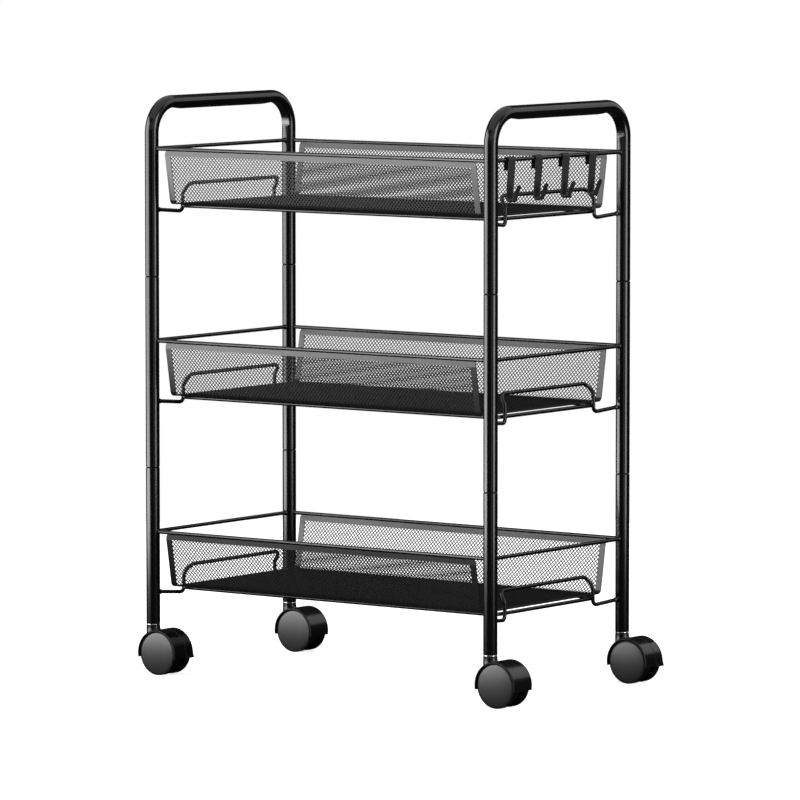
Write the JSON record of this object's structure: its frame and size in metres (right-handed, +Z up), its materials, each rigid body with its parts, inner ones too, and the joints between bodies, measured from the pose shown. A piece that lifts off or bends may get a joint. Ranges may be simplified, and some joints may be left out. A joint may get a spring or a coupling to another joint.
{
  "type": "rolling utility cart",
  "caption": "Rolling utility cart: black steel tube frame with handles, open-ended mesh trays on wire supports, hanging hooks and twin-wheel casters, some with brake levers.",
  "frame": {"origin": "on the floor, midway between the outermost points of the casters and frame", "axes": "+Z up, +X towards the end that carries the hooks, +Y towards the back long side"},
  "size_m": [0.5026, 0.275, 0.6244],
  "materials": {
    "tube_paint": "gloss black powder coat on steel tube",
    "wire_paint": "gloss black powder coat on steel wire",
    "mesh_paint": "satin black powder coat on expanded steel sheet",
    "hook_paint": "black powder coat on steel strip",
    "joint_plastic": "black moulded plastic",
    "caster_plastic": "semi-gloss black moulded plastic",
    "lever_plastic": "semi-gloss black moulded plastic",
    "wheel_plastic": "satin dark grey moulded plastic",
    "chrome_steel": "bright plated steel",
    "bare_steel": "zinc-plated steel"
  },
  "bodies": {
    "frame": {"handle_left": "tube_paint", "handle_right": "tube_paint", "left_front_middle_post": "tube_paint", "left_back_middle_post": "tube_paint", "right_front_middle_post": "tube_paint", "right_back_middle_post": "tube_paint", "left_front_lower_post": "tube_paint", "left_back_lower_post": "tube_paint", "right_front_lower_post": "tube_paint", "right_back_lower_post": "tube_paint", "upper_tube_connectors": "joint_plastic", "lower_tube_connectors": "joint_plastic", "stem_sleeves": "bare_steel", "caster_stems": "chrome_steel", "top_long_rods": "wire_paint", "top_end_rods": "wire_paint", "middle_long_rods": "wire_paint", "middle_end_rods": "wire_paint", "bottom_long_rods": "wire_paint", "bottom_end_rods": "wire_paint", "top_support_ring": "wire_paint", "middle_support_ring": "wire_paint", "bottom_support_ring": "wire_paint", "top_left_arch": "wire_paint", "top_right_arch": "wire_paint", "middle_left_arch": "wire_paint", "middle_right_arch": "wire_paint", "bottom_left_arch": "wire_paint", "bottom_right_arch": "wire_paint", "top_tray": "mesh_paint", "middle_tray": "mesh_paint", "bottom_tray": "mesh_paint"},
    "left_front_caster": {"left_front_caster_body": "caster_plastic", "left_front_axle": "bare_steel", "left_front_lever_pin": "bare_steel"},
    "left_front_near_wheel": {"left_front_near_wheel": "wheel_plastic"},
    "left_front_far_wheel": {"left_front_far_wheel": "wheel_plastic"},
    "left_front_brake_lever": {"left_front_brake_lever": "lever_plastic"},
    "left_back_caster": {"left_back_caster_body": "caster_plastic", "left_back_axle": "bare_steel"},
    "left_back_near_wheel": {"left_back_near_wheel": "wheel_plastic"},
    "left_back_far_wheel": {"left_back_far_wheel": "wheel_plastic"},
    "right_front_caster": {"right_front_caster_body": "caster_plastic", "right_front_axle": "bare_steel"},
    "right_front_near_wheel": {"right_front_near_wheel": "wheel_plastic"},
    "right_front_far_wheel": {"right_front_far_wheel": "wheel_plastic"},
    "right_back_caster": {"right_back_caster_body": "caster_plastic", "right_back_axle": "bare_steel", "right_back_lever_pin": "bare_steel"},
    "right_back_near_wheel": {"right_back_near_wheel": "wheel_plastic"},
    "right_back_far_wheel": {"right_back_far_wheel": "wheel_plastic"},
    "right_back_brake_lever": {"right_back_brake_lever": "lever_plastic"},
    "hook_1": {"hook_1": "hook_paint"},
    "hook_2": {"hook_2": "hook_paint"},
    "hook_3": {"hook_3": "hook_paint"},
    "hook_4": {"hook_4": "hook_paint"}
  },
  "joints": [
    {"name": "left_front_swivel", "type": "hinge", "parent": "frame", "child": "left_front_caster", "pos_m": [-0.2416, -0.1215, 0.0525], "axis": [0, 0, 1], "continuous": true},
    {"name": "left_front_near_roll", "type": "hinge", "parent": "left_front_caster", "child": "left_front_near_wheel", "pos_m": [-0.2251, -0.1215, 0.0234], "axis": [0, 1, 0], "continuous": true},
    {"name": "left_front_far_roll", "type": "hinge", "parent": "left_front_caster", "child": "left_front_far_wheel", "pos_m": [-0.2251, -0.1215, 0.0234], "axis": [0, 1, 0], "continuous": true},
    {"name": "left_front_brake", "type": "hinge", "parent": "left_front_caster", "child": "left_front_brake_lever", "pos_m": [-0.20943, -0.1215, 0.04275], "axis": [0, -1, 0], "range_deg": [0, 12]},
    {"name": "left_back_swivel", "type": "hinge", "parent": "frame", "child": "left_back_caster", "pos_m": [-0.2416, 0.1215, 0.0525], "axis": [0, 0, 1], "continuous": true},
    {"name": "left_back_near_roll", "type": "hinge", "parent": "left_back_caster", "child": "left_back_near_wheel", "pos_m": [-0.2251, 0.1215, 0.0234], "axis": [0, 1, 0], "continuous": true},
    {"name": "left_back_far_roll", "type": "hinge", "parent": "left_back_caster", "child": "left_back_far_wheel", "pos_m": [-0.2251, 0.1215, 0.0234], "axis": [0, 1, 0], "continuous": true},
    {"name": "right_front_swivel", "type": "hinge", "parent": "frame", "child": "right_front_caster", "pos_m": [0.2064, -0.1215, 0.0525], "axis": [0, 0, 1], "continuous": true},
    {"name": "right_front_near_roll", "type": "hinge", "parent": "right_front_caster", "child": "right_front_near_wheel", "pos_m": [0.2229, -0.1215, 0.0234], "axis": [0, 1, 0], "continuous": true},
    {"name": "right_front_far_roll", "type": "hinge", "parent": "right_front_caster", "child": "right_front_far_wheel", "pos_m": [0.2229, -0.1215, 0.0234], "axis": [0, 1, 0], "continuous": true},
    {"name": "right_back_swivel", "type": "hinge", "parent": "frame", "child": "right_back_caster", "pos_m": [0.2064, 0.1215, 0.0525], "axis": [0, 0, 1], "continuous": true},
    {"name": "right_back_near_roll", "type": "hinge", "parent": "right_back_caster", "child": "right_back_near_wheel", "pos_m": [0.2229, 0.1215, 0.0234], "axis": [0, 1, 0], "continuous": true},
    {"name": "right_back_far_roll", "type": "hinge", "parent": "right_back_caster", "child": "right_back_far_wheel", "pos_m": [0.2229, 0.1215, 0.0234], "axis": [0, 1, 0], "continuous": true},
    {"name": "right_back_brake", "type": "hinge", "parent": "right_back_caster", "child": "right_back_brake_lever", "pos_m": [0.23857, 0.1215, 0.04275], "axis": [0, -1, 0], "range_deg": [0, 12]},
    {"name": "hook_1_swing", "type": "hinge", "parent": "frame", "child": "hook_1", "pos_m": [0.2064, -0.0877, 0.568], "axis": [0, -1, 0], "range_deg": [-15, 80]},
    {"name": "hook_2_swing", "type": "hinge", "parent": "frame", "child": "hook_2", "pos_m": [0.2064, -0.0383, 0.568], "axis": [0, -1, 0], "range_deg": [-15, 80]},
    {"name": "hook_3_swing", "type": "hinge", "parent": "frame", "child": "hook_3", "pos_m": [0.2064, 0.0111, 0.568], "axis": [0, -1, 0], "range_deg": [-15, 80]},
    {"name": "hook_4_swing", "type": "hinge", "parent": "frame", "child": "hook_4", "pos_m": [0.2064, 0.0605, 0.568], "axis": [0, -1, 0], "range_deg": [-15, 80]}
  ]
}
